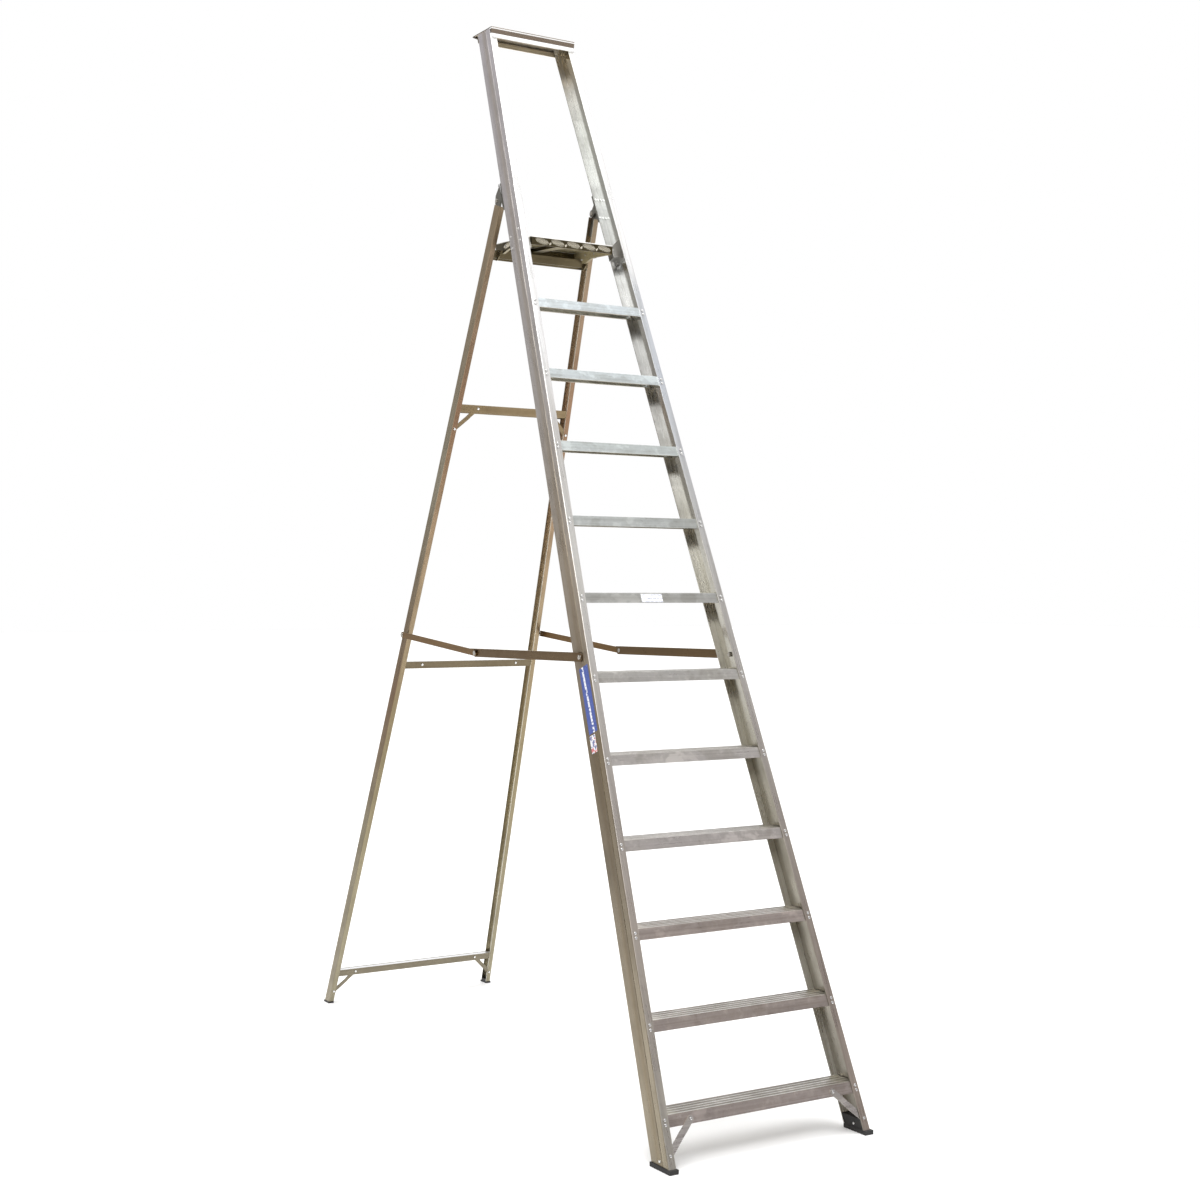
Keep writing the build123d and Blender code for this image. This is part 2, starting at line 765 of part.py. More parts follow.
def make_side_plate():
    p = PLATFORM_HALF
    body = prism_x(side_outline(), -(p + 2.5), -p)
    turned = [
        (90, -16.5),
        (110, -16.5),
        (150, -28),
        (165, -28),
        (165, -26),
        (150.5, -26),
        (110.5, -14.5),
        (90, -14.5),
    ]
    body = body + prism_x(turned, -(p + 9.0), -(p + 2.0))
    return body - disc_x(PIVOT_PIN + RUNNING, -200, 200, 0, 0)


def make_stiffener(x):
    high = P_TOP - PLATFORM_WALL
    outline = [(x - 16, high), (x - 16, high - 12), (x + 16, high - 12), (x + 16, high)]
    inner = [(x - 14, high - 2), (x - 14, high - 10), (x + 14, high - 10), (x + 14, high - 2)]
    face = make_face(Polyline(*outline, close=True)) - make_face(Polyline(*inner, close=True))
    body = extrude(Plane.XZ * face, PLATFORM_DEPTH - 2 * PLATFORM_WALL)
    return Pos(0, P_BACK - PLATFORM_WALL, 0) * body


for u in (32.0, 88.0, 144.0):
    add_pair(platform_rivets, (-(PLATFORM_HALF + 2.5), u, -3.0), (-1, 0, 0), 5.0)


# ------------------------------------------------------------------------ stays
FY, FZ = front_yz(STAY_FRONT_S, STAY_FRONT_N)
RY, RZ = rear_yz(STAY_REAR_S, STAY_REAR_N)
ARM_LEN = hypot(STAY_MID_Y - FY, STAY_MID_Z - FZ)
LINK_LEN = hypot(RY - STAY_MID_Y, RZ - STAY_MID_Z)
ARM_TURN = degrees(atan2(STAY_MID_Z - FZ, STAY_MID_Y - FY))
LINK_TURN = degrees(atan2(RZ - STAY_MID_Z, RY - STAY_MID_Y))
ARM_PLACE = Location((0, FY, FZ), (ARM_TURN, 0, 0))
LINK_PLACE = Location((0, STAY_MID_Y, STAY_MID_Z), (LINK_TURN, 0, 0))
ARM_OUT = STAY_PLANE + ARM_WALL
LINK_IN = ARM_OUT + LINK_GAP
LINK_OUT = LINK_IN + LINK_WALL


def make_arm():
    far = ARM_LEN + ARM_PAST
    web = [(0, -ARM_LOW), (far - 12, -ARM_LOW), (far, -2.0), (far, ARM_HIGH), (0, ARM_HIGH)]
    body = prism_x(web, -ARM_OUT, -STAY_PLANE)
    body = body + disc_x(ARM_LOW, -ARM_OUT, -STAY_PLANE, 0, 0)
    flange = [(-6, ARM_HIGH - ARM_WALL), (far, ARM_HIGH - ARM_WALL), (far, ARM_HIGH), (-6, ARM_HIGH)]
    body = body + prism_x(flange, -(STAY_PLANE + ARM_FLANGE), -STAY_PLANE)
    body = body - disc_x(4.0 + RUNNING, -300, -250, 0, 0)
    return body - disc_x(4.0, -300, -250, ARM_LEN, 0)


def make_arm_rivet():
    shank = disc_x(4.0, -(STAY_PLANE + 0.0), -(LINK_OUT + 0.2), ARM_LEN, 0)
    head = disc_x(8.0, -(LINK_OUT + 0.2), -(LINK_OUT + 2.8), ARM_LEN, 0)
    head = fillet(head.edges().group_by(Axis.X)[0], 1.6)
    tail = disc_x(6.5, -STAY_PLANE, -(STAY_PLANE - 1.2), ARM_LEN, 0)
    return shank + head + tail


def make_link():
    face = Pos(LINK_LEN / 2, 0) * SlotCenterToCenter(LINK_LEN, LINK_WIDTH)
    body = extrude(Plane.YZ.offset(-LINK_OUT) * face, LINK_WALL)
    body = body - disc_x(4.0 + RUNNING, -300, -250, 0, 0)
    return body - disc_x(4.0, -300, -250, LINK_LEN, 0)


def make_link_rivet():
    shank = disc_x(4.0, -LINK_IN, -LINK_OUT, LINK_LEN, 0)
    head = disc_x(8.0, -LINK_OUT, -(LINK_OUT + 2.6), LINK_LEN, 0)
    return shank + fillet(head.edges().group_by(Axis.X)[0], 1.6)


# ---------------------------------------------------------------------- output
os.makedirs("parts", exist_ok=True)


def save(name, solids):
    placed = [one(HOME * s) for s in solids]
    shape = placed[0] if len(placed) == 1 else Compound(children=placed)
    shape.label = name
    export_step(shape, "parts/" + name + ".step")


def save_pair(name, left):
    save(name + "_left", [left])
    save(name + "_right", [both_sides(left)])


stile = one(make_stile())
stile_bored = stile - disc_x(4.0, -300, -250, FY, FZ)
save_pair("stile", drilled(stile_bored, tread_rivets, frame_rivets))
for i, top in enumerate(TREAD_Z):
    save("tread_%02d" % (i + 1), [drilled(make_tread(top), tread_rivets, frame_rivets)])
save("tread_rivets", tread_rivets.solids)
save("frame_rivets", frame_rivets.solids)
brace = drilled(make_knee_brace(), frame_rivets)
save_pair("knee_brace", brace)
save_pair("front_foot", one(around_rivets(make_front_foot(stile) - brace, frame_rivets)))
save("top_cap", [drilled(make_cap(), frame_rivets)])
save_pair("platform_bracket", drilled(make_platform_bracket(stile), frame_rivets))
pin = one(make_platform_pin())
save("platform_pins", [pin, both_sides(pin)])
save_pair("hinge_bracket", drilled(make_hinge_bracket(), frame_rivets))
pin = one(make_hinge_pin())
save("hinge_pins", [pin, both_sides(pin)])
pin = one(make_stay_pin())
save("stay_pins", [pin, both_sides(pin)])
save("side_label", [label_on_web(10, 58, 1211, 1409)])
save("size_label", [label_on_web(27, 58, 1154, 1206)])
save("tread_label", [label_on_tread(6, -41, 34)])

leg = one(make_leg())
save_pair("rear_leg", drilled(leg, rear_rivets))
for name, top in BAR_TOPS.items():
    save(name + "_bar", [drilled(make_bar(top), rear_rivets)])
save_pair("upper_brace", drilled(make_rear_brace("upper"), rear_rivets))
brace = drilled(make_rear_brace("bottom"), rear_rivets)
save_pair("bottom_brace", brace)
save_pair("rear_foot", one(around_rivets(make_rear_foot(leg) - brace, rear_rivets)))
save_pair("hinge_plate", make_hinge_plate())
clip = one(make_rest_clip())
save("rest_clips", [clip, both_sides(clip)])
boss = one(make_stay_boss(leg))
save("stay_bosses", [boss, both_sides(boss)])
save("rear_rivets", rear_rivets.solids)

save("platform_tray", [TILT * drilled(make_tray(), platform_rivets)])
left_side = drilled(make_side_plate(), platform_rivets)
save("platform_side_left", [TILT * left_side])
save("platform_side_right", [TILT * both_sides(left_side)])
save("platform_stiffener", [TILT * make_stiffener(0)])
save("platform_rivets", [TILT * r for r in platform_rivets.solids])

save_pair("stay_arm", ARM_PLACE * make_arm())
save_pair("stay_joint", ARM_PLACE * make_arm_rivet())
save_pair("stay_link", LINK_PLACE * make_link())
save_pair("link_rivet", LINK_PLACE * make_link_rivet())
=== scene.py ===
import json
import math

import bmesh
import bpy
from mathutils import Matrix, Vector


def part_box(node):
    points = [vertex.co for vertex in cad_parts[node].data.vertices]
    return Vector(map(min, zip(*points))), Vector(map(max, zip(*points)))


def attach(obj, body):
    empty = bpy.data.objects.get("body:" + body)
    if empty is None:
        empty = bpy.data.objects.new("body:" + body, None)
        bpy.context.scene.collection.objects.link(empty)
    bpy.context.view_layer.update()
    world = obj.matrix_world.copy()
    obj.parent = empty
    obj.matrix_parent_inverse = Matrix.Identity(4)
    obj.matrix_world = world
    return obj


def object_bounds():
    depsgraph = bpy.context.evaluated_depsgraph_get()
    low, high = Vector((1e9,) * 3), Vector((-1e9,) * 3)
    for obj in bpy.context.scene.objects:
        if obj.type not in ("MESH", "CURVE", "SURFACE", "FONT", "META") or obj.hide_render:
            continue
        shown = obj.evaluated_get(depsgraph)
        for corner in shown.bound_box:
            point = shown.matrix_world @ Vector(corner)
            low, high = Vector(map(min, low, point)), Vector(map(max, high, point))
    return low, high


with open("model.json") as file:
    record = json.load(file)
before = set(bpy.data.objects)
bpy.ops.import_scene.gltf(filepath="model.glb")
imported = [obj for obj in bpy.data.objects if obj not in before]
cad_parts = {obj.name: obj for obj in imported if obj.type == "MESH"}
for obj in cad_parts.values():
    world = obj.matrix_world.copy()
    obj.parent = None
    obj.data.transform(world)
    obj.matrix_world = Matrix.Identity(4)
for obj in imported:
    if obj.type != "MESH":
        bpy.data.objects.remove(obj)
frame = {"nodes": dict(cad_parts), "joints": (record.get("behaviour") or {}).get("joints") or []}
cad_box = [list(corner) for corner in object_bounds()]
NODES = frame["nodes"]

# The ladder's own directions and planes, in the row frame, in radians and metres
STILE_LEAN = math.radians(90 - 68.2)
LEG_LEAN = math.radians(69.5 - 90)
PLATFORM_TILT = math.radians(3.5)
SOLE_PROUD = 0.005                            # the rubber sole ahead of the stile
STILE_FOOT_Y = cad_box[0][1] + SOLE_PROUD     # front face of the stiles, at the floor
STILE_FOOT_HALF, STILE_TAPER = 0.340, 0.0502  # half width at the floor, and its loss per metre
LEG_FOOT_Y = 1.1437                           # back of the rear legs, at the floor
FIRST_RISE, TREAD_RISE = 0.1372, 0.2286
PIVOT = next(
    Vector(joint["pos_m"]) for joint in frame["joints"] if joint["name"] == "platform_fold"
)

# Directions of faces, and turns that lay an axis along the stiles or the rear legs
FRONT = (0, -math.cos(STILE_LEAN), math.sin(STILE_LEAN))
LEG_FRONT = (0, -math.cos(LEG_LEAN), math.sin(LEG_LEAN))
BACK, UP, DOWN = (0, 1, 0), (0, 0, 1), (0, 0, -1)
ALONG_STILE, ALONG_LEG, LEVEL = (STILE_LEAN, 0, 0), (LEG_LEAN, 0, 0), (0, 0, 0)

SPAN = 3.4            # tones are given for heights from 0 to this
WEB_DEPTH = 0.08      # and across the stile web for depths from 0 to this
# Painted light across the outer stile web: a painted highlight along the groove, darker brown
# painted reflection behind it, and brighter painted edges.
WEB_TONES = (
    (0.0000, (0.92, 0.92, 0.92)), (0.0030, (0.82, 0.82, 0.83)), (0.0205, (0.81, 0.81, 0.82)),
    (0.0218, (1.00, 1.00, 1.00)), (0.0262, (1.00, 1.00, 1.00)), (0.0275, (0.64, 0.62, 0.60)),
    (0.0420, (0.66, 0.62, 0.56)), (0.0560, (0.74, 0.73, 0.73)), (0.0750, (0.76, 0.76, 0.77)),
    (0.0800, (0.90, 0.90, 0.90)),
)


# ------------------------------------------------------------------ materials
class Nodes:
    """A short way to lay out one material's nodes."""

    def __init__(self, name):
        self.material = bpy.data.materials.new(name)
        self.material.use_nodes = True
        self.tree = self.material.node_tree
        self.bsdf = self.tree.nodes["Principled BSDF"]
        self.coord_node = self.tree.nodes.new("ShaderNodeTexCoord")
        self.coord = self.coord_node.outputs["Object"]

    def add(self, kind, **values):
        node = self.tree.nodes.new(kind)
        for key, value in values.items():
            setattr(node, key, value)
        return node

    def link(self, out, into):
        self.tree.links.new(out, into)

    def mapped(self, scale, turn=(0, 0, 0)):
        """Object coordinates, turned and then stretched."""
        spin = self.add("ShaderNodeMapping")
        spin.inputs["Rotation"].default_value = turn
        self.link(self.coord, spin.inputs["Vector"])
        stretch = self.add("ShaderNodeMapping")
        stretch.inputs["Scale"].default_value = scale
        self.link(spin.outputs["Vector"], stretch.inputs["Vector"])
        return stretch.outputs["Vector"]

    def noise(self, vector, scale, detail, rough):
        node = self.add("ShaderNodeTexNoise")
        self.link(vector, node.inputs["Vector"])
        node.inputs["Scale"].default_value = scale
        node.inputs["Detail"].default_value = detail
        node.inputs["Roughness"].default_value = rough
        return node.outputs["Fac"]

    def streaks(self, turn, along, across_scale, along_scale):
        """Noise drawn out along one axis of the turned piece."""
        scale = [across_scale] * 3
        scale[along] = along_scale
        return self.noise(self.mapped(tuple(scale), turn), 1.0, 2.0, 0.5)

    def ramp(self, fac, low, high, a=0.0, b=1.0):
        """a below low, b above high, and a soft step between. low may be over high."""
        node = self.add("ShaderNodeMapRange", interpolation_type="SMOOTHSTEP")
        self.link(fac, node.inputs["Value"])
        node.inputs["From Min"].default_value = low
        node.inputs["From Max"].default_value = high
        node.inputs["To Min"].default_value = a
        node.inputs["To Max"].default_value = b
        return node.outputs["Result"]

    def math(self, kind, a, b):
        node = self.add("ShaderNodeMath", operation=kind)
        for socket, value in zip(node.inputs, (a, b)):
            if isinstance(value, (int, float)):
                socket.default_value = value
            else:
                self.link(value, socket)
        return node.outputs[0]

    def mix(self, fac, a, b, blend="MIX"):
        node = self.add("ShaderNodeMix", data_type="RGBA", blend_type=blend, clamp_result=True)
        if isinstance(fac, (int, float)):
            node.inputs[0].default_value = fac
        else:
            self.link(fac, node.inputs[0])
        for socket, value in ((node.inputs[6], a), (node.inputs[7], b)):
            if isinstance(value, tuple):
                socket.default_value = (*value, 1)
            else:
                self.link(value, socket)
        return node.outputs[2]

    def axis(self, name):
        split = self.add("ShaderNodeSeparateXYZ")
        self.link(self.coord, split.inputs[0])
        return split.outputs[name]

    def face(self):
        return self.coord_node.outputs["Normal"]

    def facing(self, direction, low=0.6, high=0.85):
        """1 on the faces that look along direction at rest."""
        node = self.add("ShaderNodeVectorMath", operation="DOT_PRODUCT")
        self.link(self.face(), node.inputs[0])
        node.inputs[1].default_value = direction
        return self.ramp(node.outputs["Value"], low, high)

    def sideways(self, outward):
        """1 on the faces that look away from the ladder's middle plane, or towards it."""
        split = self.add("ShaderNodeSeparateXYZ")
        self.link(self.face(), split.inputs[0])
        side = self.math("SIGN", self.axis("X"), 0.0)
        turned = self.math("MULTIPLY", split.outputs["X"], side)
        return self.ramp(self.math("MULTIPLY", turned, 1.0 if outward else -1.0), 0.55, 0.8)

    def colours_along(self, value, full, stops):
        """A colour that changes as value runs from 0 to full, from (value, colour) pairs."""
        node = self.add("ShaderNodeValToRGB")
        self.link(self.math("MULTIPLY", value, 1 / full), node.inputs["Fac"])
        elements = node.color_ramp.elements
        elements[0].position = stops[0][0] / full
        elements[1].position = stops[-1][0] / full
        for at, colour in stops[1:-1]:
            elements.new(at / full)
        for element, (at, colour) in zip(elements, stops):
            element.color = (*colour, 1)
        return node.outputs["Color"]

    def by_height(self, stops):
        """A colour that changes with height above the floor, from (metres, colour) pairs."""
        return self.colours_along(self.axis("Z"), SPAN, stops)

    def bump(self, height, strength, distance, below=None):
        node = self.add("ShaderNodeBump")
        node.inputs["Strength"].default_value = strength
        node.inputs["Distance"].default_value = distance
        self.link(height, node.inputs["Height"])
        if below is not None:
            self.link(below, node.inputs["Normal"])
        return node.outputs["Normal"]

    def finish(self, colour, rough, normal=None, metallic=1.0):
        """Wire the results to the shader, or set them where they are plain numbers."""
        sockets = (
            (colour, "Base Color"), (rough, "Roughness"),
            (normal, "Normal"), (metallic, "Metallic"),
        )
        for value, name in sockets:
            if value is None:
                continue
            if isinstance(value, (int, float)):
                self.bsdf.inputs[name].default_value = value
            else:
                self.link(value, self.bsdf.inputs[name])
        return self.material


def stile_depth(m):
    """Distance behind the front face of the stiles, in metres."""
    from_foot = m.math("ADD", m.axis("Y"), -STILE_FOOT_Y)
    level_part = m.math("MULTIPLY", from_foot, math.cos(STILE_LEAN))
    return m.math("SUBTRACT", level_part, m.math("MULTIPLY", m.axis("Z"), math.sin(STILE_LEAN)))


def from_web(m):
    """Distance in from the outer skin of the stile webs, in metres."""
    rise = m.math("MULTIPLY", m.axis("Z"), math.cos(STILE_LEAN))
    run = m.math("MULTIPLY", m.math("ADD", m.axis("Y"), -STILE_FOOT_Y), math.sin(STILE_LEAN))
    taper = m.math("MULTIPLY", m.math("ADD", rise, run), -STILE_TAPER)
    half = m.math("ADD", taper, STILE_FOOT_HALF)
    return m.math("SUBTRACT", half, m.math("ABSOLUTE", m.axis("X"), 0.0))


def front_skin(m):
    """The front faces of both stiles."""
    return m.math("MULTIPLY", m.facing(FRONT), m.ramp(stile_depth(m), 0.012, 0.006))


def right_front_skin(m):
    return m.math("MULTIPLY", front_skin(m), m.ramp(m.axis("X"), 0.0, 0.01))


def rib_side(m):
    """The front of the rib that runs inside each stile web, but not the groove outside it."""
    inner = m.ramp(from_web(m), 0.0013, 0.0020)
    behind = m.math("MULTIPLY", m.ramp(stile_depth(m), 0.012, 0.018), inner)
    return m.math("MULTIPLY", m.facing(FRONT), behind)


def back_inside(m):
    """The inner faces of the stiles' rear flanges."""
    return m.math("MULTIPLY", m.facing(FRONT), m.ramp(stile_depth(m), 0.050, 0.060))


def rib_tops(m):
    """The crowns of the tread ribs, which all stand at one height in each tread. They take a
    painted highlight.
    """
    above_first = m.math("ADD", m.axis("Z"), TREAD_RISE - FIRST_RISE + 0.0006)
    within = m.math("FRACT", m.math("MULTIPLY", above_first, 1 / TREAD_RISE), 0.0)
    return m.math("MULTIPLY", m.facing(UP), m.ramp(within, 0.006, 0.004))


def tread_ends(m):
    """The tops of the treads close to the stiles, which mirror the bright webs."""
    return m.math("MULTIPLY", m.facing(UP), m.ramp(from_web(m), 0.085, 0.030))


def bar_rear_edge(m):
    """The rear edge of the crossbar tops, painted darker."""
    from_foot = m.math("SUBTRACT", LEG_FOOT_Y, m.axis("Y"))
    level_part = m.math("MULTIPLY", from_foot, math.cos(LEG_LEAN))
    inward = m.math("ADD", level_part, m.math("MULTIPLY", m.axis("Z"), math.sin(LEG_LEAN)))
    return m.math("MULTIPLY", m.facing(UP), m.ramp(inward, 0.014, 0.009))


def plate_edge_highlight(m):
    """The rounded top edge of the platform sheet, with a painted highlight."""
    from_pivot = m.math("ADD", m.axis("Y"), -PIVOT.y)
    level_part = m.math("MULTIPLY", from_pivot, -math.sin(PLATFORM_TILT))
    over_pivot = m.math("ADD", m.axis("Z"), -PIVOT.z)
    rise = m.math("MULTIPLY", over_pivot, math.cos(PLATFORM_TILT))
    near_top = m.ramp(m.math("ADD", level_part, rise), 0.0086, 0.0094)
    flat = m.math("MAXIMUM", m.facing(UP, 0.75, 0.97), m.facing(DOWN, 0.2, 0.5))
    return m.math("MULTIPLY", near_top, m.math("SUBTRACT", 1.0, flat))


def groove_light_and_shade(m):
    """Tone factors across the stile web: a painted highlight along the groove, darker brown
    painted reflection behind it, and painted highlights on the rounded edges.
    """
    return m.colours_along(stile_depth(m), WEB_DEPTH, WEB_TONES)


def mask_for(m, which):
    """which is "out" or "in" (away from the middle plane or to it), a direction or a mask."""
    if which in ("out", "in"):
        return m.sideways(which == "out")
    if callable(which):
        return which(m)
    return m.facing(which)


def mill_metal(
    name, stops, turn, along, rough, blotch,
    areas=(), smudge=0.0, shine=None, matt=None, web_tones=None,
):
    """Mill finish aluminium. along is the axis of the extrusion lines after turn.
    stops give the tone by height; areas are (which faces, stops) laid over it. Both carry painted
    light and shade: faces are given tones for how light falls on them. blotch and smudge are the
    strengths of dull and of handled patches. shine is (which faces, roughness) well above the
    floor; matt gives the faces with an etched skin; web_tones are tone factors of painted light
    and shade laid over the faces that look outward."""
    m = Nodes(name)
    drawn = m.streaks(turn, along, 420.0, 1.6)
    die = m.streaks(turn, along, 70.0, 0.5)
    cloud = m.noise(m.coord, 9.0, 5.0, 0.62)
    stain = m.noise(m.coord, 42.0, 4.0, 0.65)
    speck = m.noise(m.coord, 230.0, 2.0, 0.5)
    tone = m.by_height(stops)
    for which, area_stops in areas:
        tone = m.mix(mask_for(m, which), tone, m.by_height(area_stops))
    if web_tones:
        tone = m.mix(m.sideways(True), tone, m.mix(1.0, tone, web_tones(m), "MULTIPLY"))
    dark = m.mix(1.0, tone, (0.62, 0.60, 0.56), "MULTIPLY")
    light = m.mix(1.0, tone, (1.3, 1.3, 1.29), "MULTIPLY")
    colour = m.mix(m.ramp(cloud, 0.42, 0.72, 0.0, blotch), tone, dark)
    colour = m.mix(m.ramp(stain, 0.55, 0.75, 0.0, blotch), colour, dark)
    colour = m.mix(m.ramp(stain, 0.50, 0.34, 0.0, smudge), colour, light)
    if smudge:
        handled = m.noise(m.mapped((9.0, 14.0, 14.0)), 1.0, 3.0, 0.6)
        colour = m.mix(m.ramp(handled, 0.53, 0.60, 0.0, 0.5), colour, dark)
        colour = m.mix(m.ramp(handled, 0.42, 0.36, 0.0, 0.8), colour, light)
    colour = m.mix(m.ramp(die, 0.35, 0.75, 0.0, 0.45), colour, dark)
    colour = m.mix(m.ramp(drawn, 0.35, 0.75, 0.0, 0.35), colour, light)
    colour = m.mix(m.ramp(speck, 0.70, 0.80, 0.0, 0.25), colour, dark)
    roughness = m.ramp(cloud, 0.3, 0.7, rough - 0.07, rough + 0.09)
    roughness = m.math("ADD", roughness, m.ramp(drawn, 0.3, 0.7, -0.04, 0.05))
    if shine:
        faces, smooth = shine
        polished = m.math("MULTIPLY", mask_for(m, faces), m.ramp(m.axis("Z"), 0.9, 1.5))
        share = m.ramp(polished, 0.0, 1.0, 1.0, smooth / rough)
        roughness = m.math("MULTIPLY", roughness, share)
    normal = m.bump(drawn, 0.25, 0.0003)
    normal = m.bump(stain, 0.12, 0.0005, normal)
    metallic = m.ramp(matt(m), 0.0, 1.0, 0.9, 0.15) if matt else 0.9
    return m.finish(colour, roughness, normal, metallic)


def level(colour, top=None):
    """One tone at every height, or an even change up to top."""
    return ((0.0, colour), (SPAN, top or colour))


# Painted light on the stiles: the upper front flanges are painted near white as a highlight, and
# the lower webs darker and brown as painted shade and reflection. The rear flanges' inner faces
# are painted pale low down as painted light, the rib's front is a painted shade line, and the top
# of the inner webs is painted brown as a reflection of the cap.
stile_metal = mill_metal(
    "stile_metal",
    ((0.0, (0.34, 0.31, 0.25)), (1.3, (0.32, 0.29, 0.23)), (3.3, (0.46, 0.45, 0.43))),
    ALONG_STILE, 2, 0.32, 0.30,
    areas=(
        ("out", (
            (0.0, (0.345, 0.302, 0.223)), (0.3, (0.330, 0.284, 0.208)),
            (0.75, (0.215, 0.178, 0.125)), (1.1, (0.225, 0.175, 0.108)),
            (1.6, (0.52, 0.455, 0.38)), (2.2, (0.60, 0.57, 0.56)), (3.3, (0.57, 0.54, 0.565)),
        )),
        ("in", (
            (0.0, (0.29, 0.27, 0.235)), (0.9, (0.28, 0.26, 0.215)), (1.6, (0.52, 0.51, 0.46)),
            (2.2, (0.60, 0.60, 0.60)), (2.62, (0.60, 0.61, 0.60)), (2.75, (0.56, 0.575, 0.565)),
            (3.05, (0.64, 0.655, 0.62)), (3.2, (0.48, 0.47, 0.43)), (3.27, (0.46, 0.40, 0.30)),
        )),
        (front_skin, (
            (0.0, (0.46, 0.44, 0.39)), (0.6, (0.48, 0.43, 0.38)), (1.1, (0.52, 0.49, 0.46)),
            (1.6, (0.62, 0.61, 0.58)), (2.0, (0.56, 0.545, 0.525)), (2.35, (0.84, 0.84, 0.84)),
            (3.3, (0.88, 0.88, 0.87)),
        )),
        (right_front_skin, (
            (0.0, (0.39, 0.33, 0.285)), (0.6, (0.38, 0.33, 0.29)), (1.1, (0.42, 0.39, 0.36)),
            (1.6, (0.50, 0.49, 0.47)), (2.2, (0.55, 0.575, 0.615)), (2.46, (0.57, 0.59, 0.62)),
            (2.58, (0.82, 0.82, 0.82)), (3.3, (0.84, 0.84, 0.83)),
        )),
        (rib_side, level((0.46, 0.405, 0.32))),
        (back_inside, (
            (0.0, (0.95, 0.94, 0.88)), (1.0, (0.85, 0.82, 0.73)), (2.0, (0.50, 0.50, 0.49)),
            (3.3, (0.46, 0.46, 0.46)),
        )),
    ),
    shine=("in", 0.12), web_tones=groove_light_and_shade,
)
# Painted light on the treads: the fronts' tones by height are painted shade and reflection, and
# the tops are painted dark between painted highlights on the rib crowns. Their ends carry a
# painted reflection of the webs, and the undersides and backs are painted darker as shade.
tread_metal = mill_metal(
    "tread_metal",
    ((0.0, (0.46, 0.45, 0.42)), (3.3, (0.5, 0.5, 0.48))),
    LEVEL, 0, 0.36, 0.55,
    areas=(
        (FRONT, (
            (0.1, (0.41, 0.36, 0.335)), (0.36, (0.38, 0.33, 0.30)), (0.6, (0.43, 0.375, 0.345)),
            (0.82, (0.48, 0.45, 0.43)), (1.05, (0.48, 0.455, 0.43)), (1.5, (0.43, 0.43, 0.41)),
            (2.0, (0.54, 0.58, 0.575)), (2.42, (0.60, 0.65, 0.675)),
        )),
        (UP, level((0.27, 0.255, 0.225))),
        (tread_ends, level((0.62, 0.60, 0.52))),
        (rib_tops, level((0.86, 0.86, 0.84))),
        (DOWN, level((0.36, 0.31, 0.23))),
        (BACK, level((0.40, 0.36, 0.28))),
    ),
    smudge=0.55,
)
# The brace fronts are painted a little lighter, as a painted highlight.
brace_metal = mill_metal(
    "brace_metal", level((0.50, 0.47, 0.43)), LEVEL, 0, 0.28, 0.4,
    areas=((FRONT, level((0.52, 0.49, 0.46))),),
)
# Painted light on the rear legs: the outer webs and the fronts are painted dark brown as shade
# and reflection, and the inner faces pale as a painted highlight.
leg_metal = mill_metal(
    "leg_metal",
    ((0.0, (0.40, 0.37, 0.29)), (1.0, (0.40, 0.35, 0.26)), (2.8, (0.42, 0.37, 0.29))),
    ALONG_LEG, 2, 0.30, 0.40,
    areas=(
        ("out", (
            (0.0, (0.24, 0.21, 0.15)), (0.7, (0.165, 0.135, 0.08)), (1.15, (0.175, 0.105, 0.055)),
            (1.5, (0.24, 0.185, 0.12)), (1.9, (0.345, 0.31, 0.235)), (2.3, (0.31, 0.255, 0.18)),
            (2.7, (0.285, 0.22, 0.145)),
        )),
        ("in", level((0.88, 0.86, 0.78), (0.80, 0.77, 0.68))),
        (LEG_FRONT, (
            (0.0, (0.32, 0.29, 0.21)), (0.9, (0.26, 0.215, 0.13)), (1.5, (0.31, 0.235, 0.15)),
            (2.1, (0.26, 0.16, 0.10)), (2.7, (0.27, 0.21, 0.145)),
        )),
    ),
)
# Painted light on the crossbars: the fronts are painted dark brown as the shade under their top
# flanges, and the tops near white as a painted highlight.
bar_metal = mill_metal(
    "bar_metal",
    (
        (0.0, (0.22, 0.195, 0.145)), (1.3, (0.165, 0.132, 0.084)), (2.2, (0.235, 0.175, 0.10)),
        (2.45, (0.115, 0.092, 0.052)), (2.8, (0.115, 0.092, 0.052)),
    ),
    LEVEL, 0, 0.34, 0.35,
    areas=(
        (UP, level((0.90, 0.90, 0.92))),
        (bar_rear_edge, level((0.20, 0.18, 0.13))),
        (DOWN, level((0.24, 0.20, 0.13))),
    ),
)
# Painted light on the stay arms and links: dark brown as the shade under their top flanges, with
# a painted highlight on the upward faces.
stay_edges = ((UP, level((0.42, 0.36, 0.27))),)
arm_metal = mill_metal(
    "stay_arm_metal", level((0.122, 0.076, 0.033)), LEVEL, 1, 0.34, 0.3, areas=stay_edges,
)
link_metal = mill_metal(
    "stay_link_metal", level((0.165, 0.094, 0.033)), LEVEL, 1, 0.34, 0.3, areas=stay_edges,
)


def cap_inside(m):
    """The underside of the cap and the inner face of its front skirt."""
    skirt = m.math("MULTIPLY", m.ramp(m.axis("Y"), 0.24, 0.22), m.facing(BACK))
    return m.math("MAXIMUM", m.facing(DOWN, 0.5, 0.8), skirt)


def cap_flange(m):
    """The inner face of the cap's rear flange."""
    return m.math("MULTIPLY", m.ramp(m.axis("Y"), 0.22, 0.24), m.facing(FRONT))


